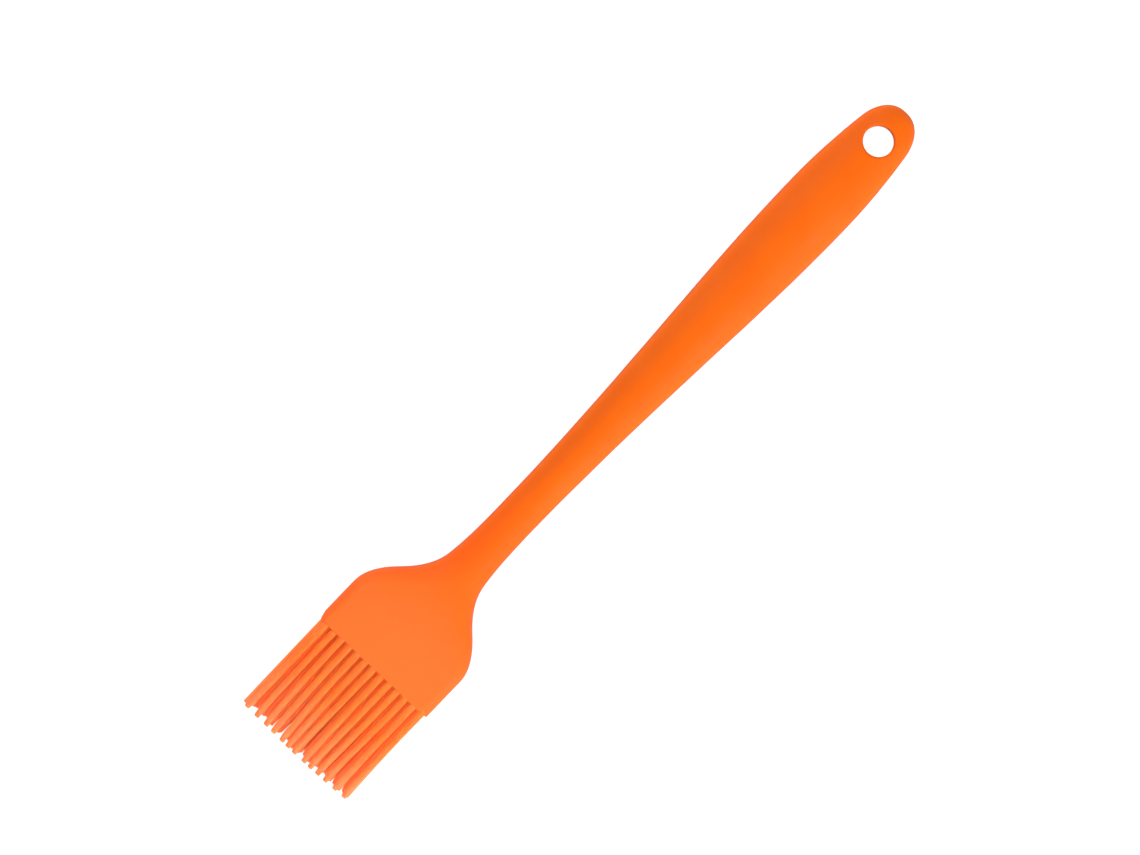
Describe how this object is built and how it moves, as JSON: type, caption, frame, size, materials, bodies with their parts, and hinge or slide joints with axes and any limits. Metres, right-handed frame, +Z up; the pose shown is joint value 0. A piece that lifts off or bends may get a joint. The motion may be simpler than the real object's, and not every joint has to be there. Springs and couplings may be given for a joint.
{
  "type": "pastry brush",
  "caption": "All-silicone pastry brush with a stiff core, a flat head, rows of flexible bristles and a tapered handle with a hanging hole.",
  "frame": {"origin": "centre of the bounding box's bottom face: the brush lies flat on its head and grip, half way between the bristle tips and the handle's end", "axes": "+X along the brush from the bristles to the hanging hole, +Y across the head, +Z up through the brush's thickness"},
  "size_m": [0.21, 0.0346, 0.012],
  "materials": {
    "handle_silicone": "matt satin moulded silicone",
    "bristle_silicone": "satin, slightly translucent silicone",
    "core_steel": "plain stamped strip"
  },
  "bodies": {
    "handle": {"handle_sleeve": "handle_silicone", "core": "core_steel", "bristle_pad": "bristle_silicone"},
    "row_1": {"bristle_row_1": "bristle_silicone"},
    "row_2": {"bristle_row_2": "bristle_silicone"},
    "row_3": {"bristle_row_3": "bristle_silicone"},
    "row_4": {"bristle_row_4": "bristle_silicone"},
    "row_5": {"bristle_row_5": "bristle_silicone"}
  },
  "joints": [
    {"name": "row_1_bend", "type": "hinge", "parent": "handle", "child": "row_1", "pos_m": [-0.07848, 0, 0.011], "axis": [0, 1, 0], "range_deg": [-35, 35], "stiffness_Nm_per_rad": 0.0014, "springref_deg": 4.55},
    {"name": "row_2_bend", "type": "hinge", "parent": "handle", "child": "row_2", "pos_m": [-0.07848, 0, 0.0085], "axis": [0, 1, 0], "range_deg": [-35, 35], "stiffness_Nm_per_rad": 0.0014, "springref_deg": 4.34},
    {"name": "row_3_bend", "type": "hinge", "parent": "handle", "child": "row_3", "pos_m": [-0.07848, 0, 0.006], "axis": [0, 1, 0], "range_deg": [-35, 35], "stiffness_Nm_per_rad": 0.0014, "springref_deg": 4.34},
    {"name": "row_4_bend", "type": "hinge", "parent": "handle", "child": "row_4", "pos_m": [-0.07848, 0, 0.0035], "axis": [0, 1, 0], "range_deg": [-35, 35], "stiffness_Nm_per_rad": 0.0014, "springref_deg": 4.34},
    {"name": "row_5_bend", "type": "hinge", "parent": "handle", "child": "row_5", "pos_m": [-0.07848, 0, 0.001], "axis": [0, 1, 0], "range_deg": [-35, 35], "stiffness_Nm_per_rad": 0.0014, "springref_deg": 4.55}
  ],
  "couplings": [
    {"joint": "row_2_bend", "follows": "row_1_bend", "ratio": 1},
    {"joint": "row_3_bend", "follows": "row_1_bend", "ratio": 1},
    {"joint": "row_4_bend", "follows": "row_1_bend", "ratio": 1},
    {"joint": "row_5_bend", "follows": "row_1_bend", "ratio": 1}
  ]
}
